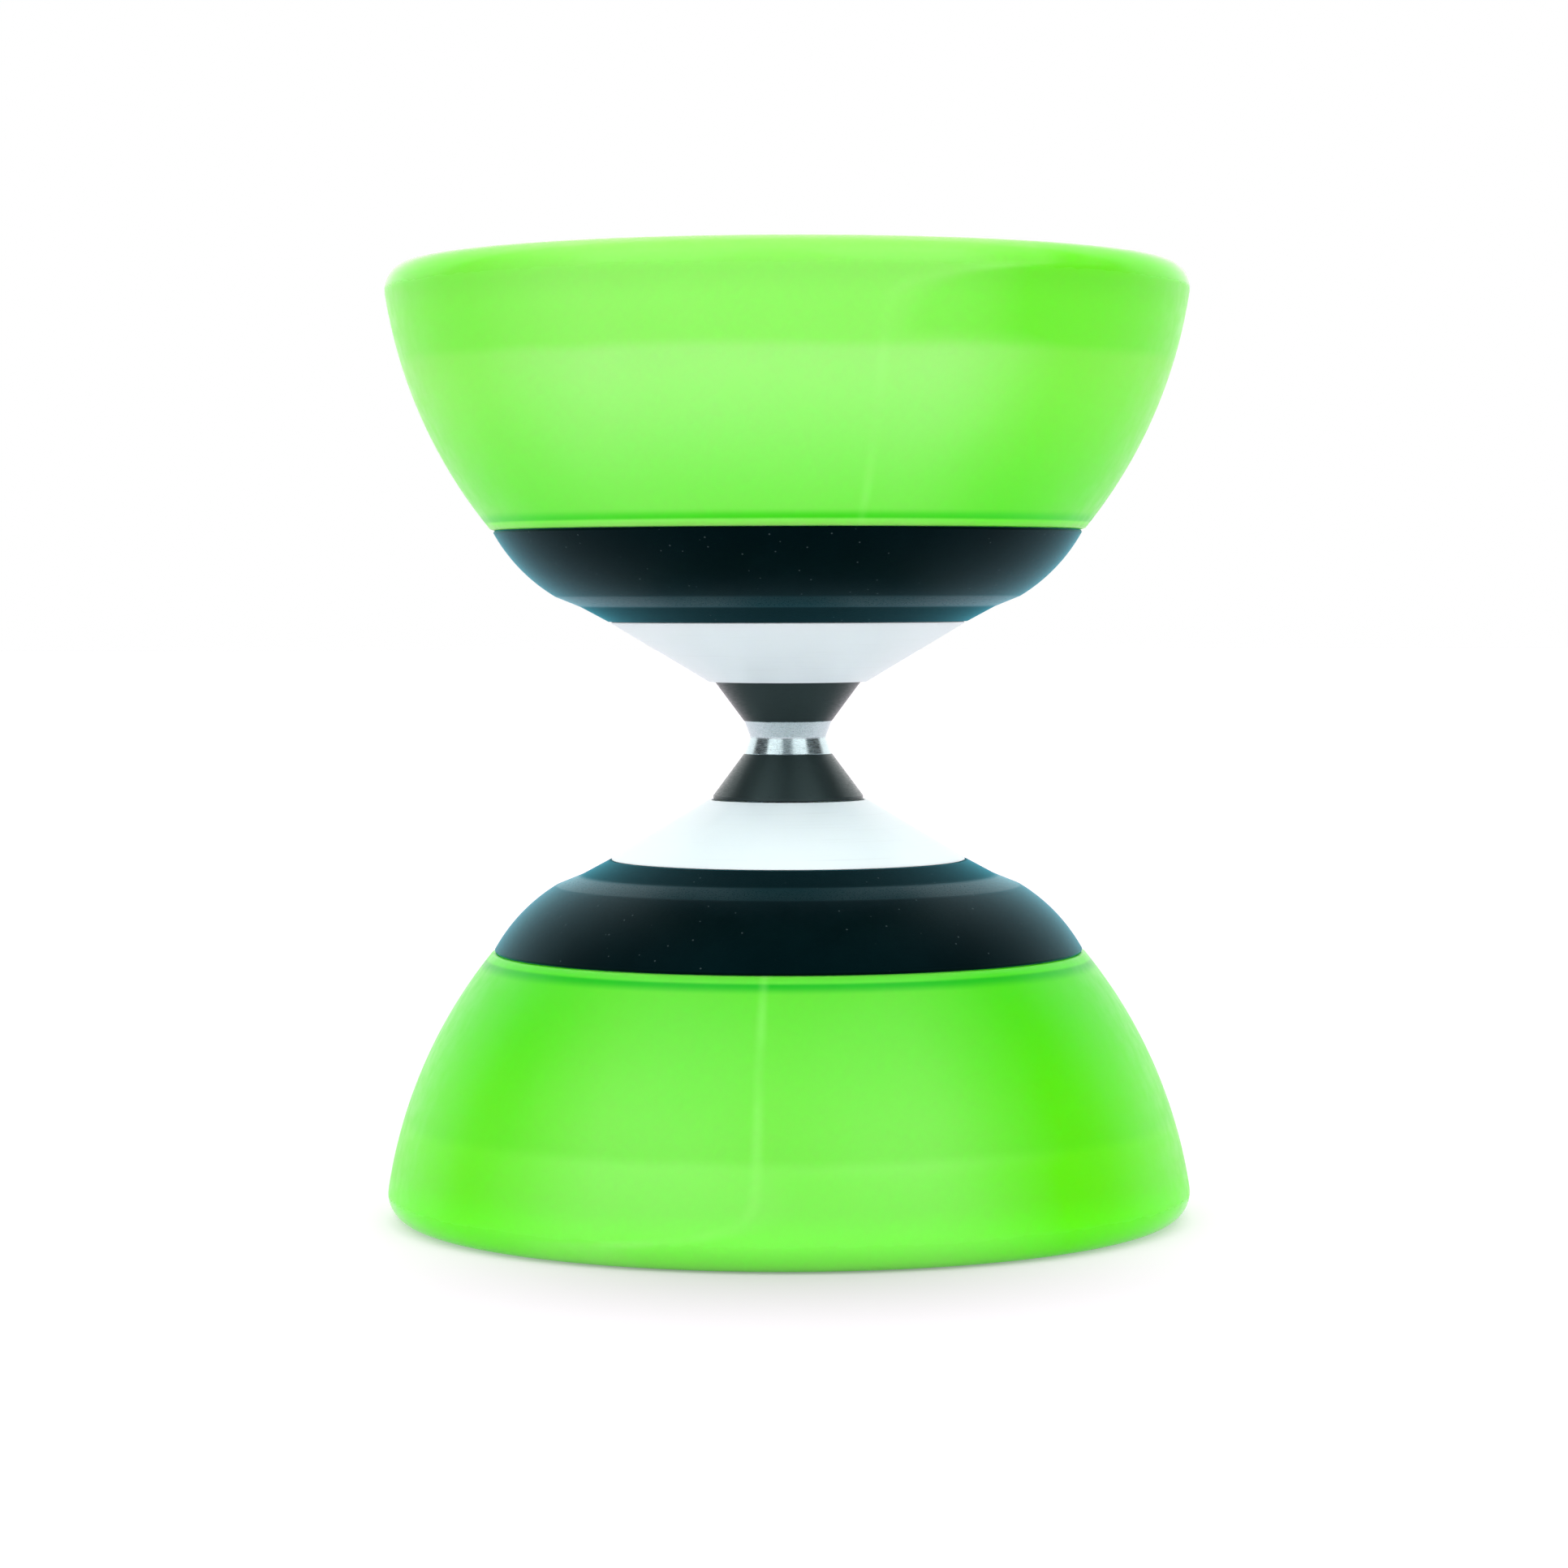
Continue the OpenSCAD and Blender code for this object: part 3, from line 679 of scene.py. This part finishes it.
def shaft_outline():
    """Half section of the shaft, with rows close enough together for the threads."""
    end = []
    for full, start, stop, pitch in THREADS:
        rows = int((stop - start) / (pitch / 9))
        end += [(full, start + (stop - start) * i / rows) for i in range(rows + 1)]
        end += [(SHAFT_R - 0.4, STUD_Z), (STUD_R, STUD_Z)] if full == SHAFT_R else []
    end += [(STUD_R - 0.4, SHAFT_END), (0.0, SHAFT_END)]
    low, high = SLEEVE_OFF - RACE_Z, SLEEVE_OFF + RACE_Z
    race = [(SHAFT_R, low), (RACE_R, low), (RACE_R, high), (SHAFT_R, high)]
    return [(r, -z) for r, z in reversed(end)] + race + end


def nut_outline():
    """Section of a lock nut: chamfered hexagon, round collar, room for the nylon ring."""
    lead = 0.35
    hexagon = [(NUT_CORNER, NUT_Z + lead + (HEX_H - 2 * lead) * i / 6) for i in range(7)]
    return ([(SHAFT_R, NUT_Z + 0.2), (SHAFT_R + 0.25, NUT_Z), (NUT_FLAT - 0.05, NUT_Z)]
            + hexagon
            + rounded([(NUT_FLAT - 0.05, NUT_Z + HEX_H), (COLLAR_R, NUT_Z + HEX_H + 0.1),
                       (COLLAR_R, NUT_Z + NUT_H, 0.6), (INSERT_R - 0.35, NUT_Z + NUT_H, 0.15),
                       (INSERT_R - 0.35, INSERT_Z[1]), (INSERT_R, INSERT_Z[1]),
                       (INSERT_R, INSERT_Z[0]), (SHAFT_R, INSERT_Z[0])]))


def hexagon(angle, r, z):
    """Cuts the nut's six flats."""
    if z > NUT_Z + HEX_H - 0.02 or r < NUT_FLAT - 0.1:
        return r, z
    sixth = math.pi / 3
    flat = NUT_FLAT / math.cos((angle + sixth / 2) % sixth - sixth / 2)
    return min(r, flat), z


def nylon_material():
    """Milky nylon."""
    mat, shader = new_material("nylon", Base_Color=(0.72, 0.76, 0.78, 1), Roughness=0.35,
                               Subsurface_Weight=0.6, Subsurface_Scale=0.6 * MM)
    place, x, y, z = position(mat)
    plug(mat, bump(mat, noise(mat, place, 4.0, 2), 0.01, 0.5), shader, "Normal")
    return mat


# ---------------------------------------------------------------- the build

BODY = {n: b for b, nodes in frame["record"]["behaviour"]["bodies"].items() for n in nodes}


def build_sides(looks):
    """Every visible piece of both sides."""
    pieces = (
        ("hub", "dish", hub_outline(), 256, None, "hub_black"),
        ("cone_washer", "cone", cone_outline(), 192, None, "cone_white"),
        ("clamp_disc", "plate", disc_outline(), 480, disc_rib, "disc_black"),
        ("flat_washer", "disc", rounded([(2.65, WASHER_Z, 0.1), (6.0, WASHER_Z, 0.15),
                                         (6.0, WASHER_Z + 1, 0.25), (2.65, WASHER_Z + 1, 0.1)]),
         96, None, "steel"),
        ("lock_nut", "hexagon", nut_outline(), 120, hexagon, "steel"),
        ("nut_insert", "ring", rounded([(SHAFT_R, INSERT_Z[0]), (INSERT_R - 0.02, INSERT_Z[0]),
                                        (INSERT_R - 0.02, INSERT_Z[1], 0.1),
                                        (SHAFT_R, INSERT_Z[1], 0.2)]), 72, None, "nylon"),
    )
    for side in SIDES:
        cup = turned(side + "_cup_shell", cup_outline(), 288, side)
        stands_for(cup, side + "_cup", BODY[side + "_cup"], "cup_green", cup_material(side))
        for node, form, outline, columns, shape, slot in pieces:
            piece = turned(f"{side}_{node}_{form}", outline, columns, side, shape)
            stands_for(piece, f"{side}_{node}", BODY[f"{side}_{node}"], slot, looks[slot])


def build_shaft(looks):
    """The stepped shaft with its two threaded ends."""
    shaft = turned("axle_shaft_threaded", shaft_outline(), 64, shape=thread, sharp_deg=60)
    stands_for(shaft, "axle_shaft", BODY["axle_shaft"], "steel", looks["shaft"])


def dress_cad_nodes(looks):
    """Gives the bearing and clutch parts, whose CAD shapes stay, their metals."""
    slots = {row["node"]: row["material_slot"] for row in frame["record"]["subparts"]}
    for node, piece in frame["nodes"].items():
        if not piece.hide_render:
            piece.data.materials.clear()
            piece.data.materials.append(looks[slots[node]])


def all_looks():
    """Materials by record slot, and one for the shaft."""
    return {
        "hub_black": hub_material(),
        "cone_white": cone_material(),
        "disc_black": disc_material(),
        "nylon": nylon_material(),
        "steel": steel_material("steel_plated", (0.62, 0.64, 0.66, 1), 0.3, 2.5),
        "shaft": steel_material("steel_hardened", (0.50, 0.51, 0.53, 1), 0.26, 4.0),
        "bearing_steel": steel_material("steel_ground", (0.66, 0.67, 0.69, 1), 0.16, 6.0),
        "cage_brass": steel_material("brass_pressed", (0.72, 0.52, 0.22, 1), 0.3, 4.0),
    }


# ---------------------------------------------------------------- stage, light and camera

# Brightness of the studio's back, sides, front and ceiling, and the softboxes' power in watts
BACKDROP = 1.5
SIDE = 0.08
FRONT = 0.32
CEILING = 1.3
SOFTBOX = 4.9
# Softboxes: azimuth, elevation, distance, width and height, in degrees and metres
SOFTBOXES = {"left_softbox": (-41, 35, 1.0, 0.72, 0.95), "right_softbox": (36, 35, 1.0, 0.72, 0.95)}
# Middle of the painted shadow on the floor, in metres, and half the floor's side
SHADE_AT = (0, -0.05, 0)
FLOOR_HALF = 6.0


def build_stage():
    """A pale floor that glows faintly, and less so round the object, which paints its shadow; its faint
    magenta cancels the green light that the cups throw on it.
    """
    bm = bmesh.new()
    bmesh.ops.create_grid(bm, x_segments=1, y_segments=1, size=FLOOR_HALF)
    floor = finish_mesh(bm, "floor")
    # faint magenta base: cancels the green light thrown on the floor by the cups
    mat, shader = new_material("floor_white", Base_Color=(0.48, 0.43, 0.48, 1), Roughness=0.9,
                               Emission_Color=(1, 1, 1, 1))
    away = add(mat, "ShaderNodeVectorMath", {"operation": "DISTANCE"},
               i0=add(mat, "ShaderNodeTexCoord").outputs["Object"], i1=SHADE_AT).outputs["Value"]
    # floor's own light, dimmed round the object into a painted shadow
    floor_light_and_shadow = maths(mat, "ADD", ramp(mat, away, 0.005, 0.078, 0.205, 0.445),
                 ramp(mat, away, 0.2, 1.0, 0.0, 0.15))
    plug(mat, floor_light_and_shadow, shader, "Emission Strength")
    floor.data.materials.append(mat)


def softbox(name, azimuth, elevation, distance, width, height, power):
    """An area light that faces the axle. Azimuth 0 is in front of the object."""
    light = bpy.data.lights.new(name, "AREA")
    light.shape = "RECTANGLE"
    light.size = width
    light.size_y = height
    light.energy = power
    lamp = bpy.data.objects.new(name, light)
    a, e = math.radians(azimuth), math.radians(elevation)
    aim = Vector((math.sin(a) * math.cos(e), -math.cos(a) * math.cos(e), math.sin(e)))
    lamp.location = Vector((0, 0, HALF_H * MM)) + aim * distance
    lamp.rotation_euler = (-aim).to_track_quat("-Z", "Y").to_euler()
    bpy.context.scene.collection.objects.link(lamp)


def build_light():
    """A studio with a bright back and ceiling, which the camera sees as plain white, and softboxes."""
    world = bpy.data.worlds.new("studio")
    bpy.context.scene.world = world
    world.use_nodes = True
    background = world.node_tree.nodes["Background"]
    background.inputs["Strength"].default_value = 1.0
    coords = add(world, "ShaderNodeTexCoord").outputs["Generated"]
    split = add(world, "ShaderNodeSeparateXYZ", Vector=coords)
    back, up = split.outputs[1], split.outputs[2]
    behind = ramp(world, back, 0.28, 0.46, 0.0, 1.0)
    ahead = ramp(world, back, -0.95, -0.78, 1.0, 0.0)
    above = ramp(world, up, 0.55, 0.9, 0.0, 1.0)
    level = maths(world, "MULTIPLY_ADD", behind, BACKDROP - SIDE, SIDE)
    level = maths(world, "MULTIPLY_ADD", ahead, FRONT - SIDE, level)
    level = maths(world, "MULTIPLY_ADD", above, CEILING, level)
    seen = add(world, "ShaderNodeMix", {"data_type": "FLOAT"}, i0=add(world, "ShaderNodeLightPath")
               .outputs["Is Camera Ray"], i2=level, i3=1.0)
    world.node_tree.links.new(seen.outputs[0], background.inputs["Color"])
    for name, place in SOFTBOXES.items():
        softbox(name, *place, SOFTBOX)


# The camera's tilts in degrees, its lens and sensor, its shift, and where it stands
PITCH = 1.3
ROLL = 0.127
LENS = 99.48
SENSOR = 36.0
SHIFT_Y = -0.0604
STAND = (-0.54, -632.8, HALF_H + 21.83)


def build_camera():
    """A long lens at the height of the upper hub, tilted down a little, with a shifted frame."""
    data = bpy.data.cameras.new("camera")
    data.sensor_width = SENSOR
    data.lens = LENS
    data.shift_y = SHIFT_Y
    data.clip_start = 0.01
    camera = bpy.data.objects.new("camera", data)
    camera.location = Vector(STAND) * MM
    camera.rotation_euler = (math.radians(90 - PITCH), math.radians(ROLL), 0)
    bpy.context.scene.collection.objects.link(camera)
    bpy.context.scene.camera = camera


looks = all_looks()
build_sides(looks)
build_sleeve()
build_shaft(looks)
dress_cad_nodes(looks)
build_stage()
build_light()
build_camera()
bpy.context.scene.view_settings.view_transform = "Standard"
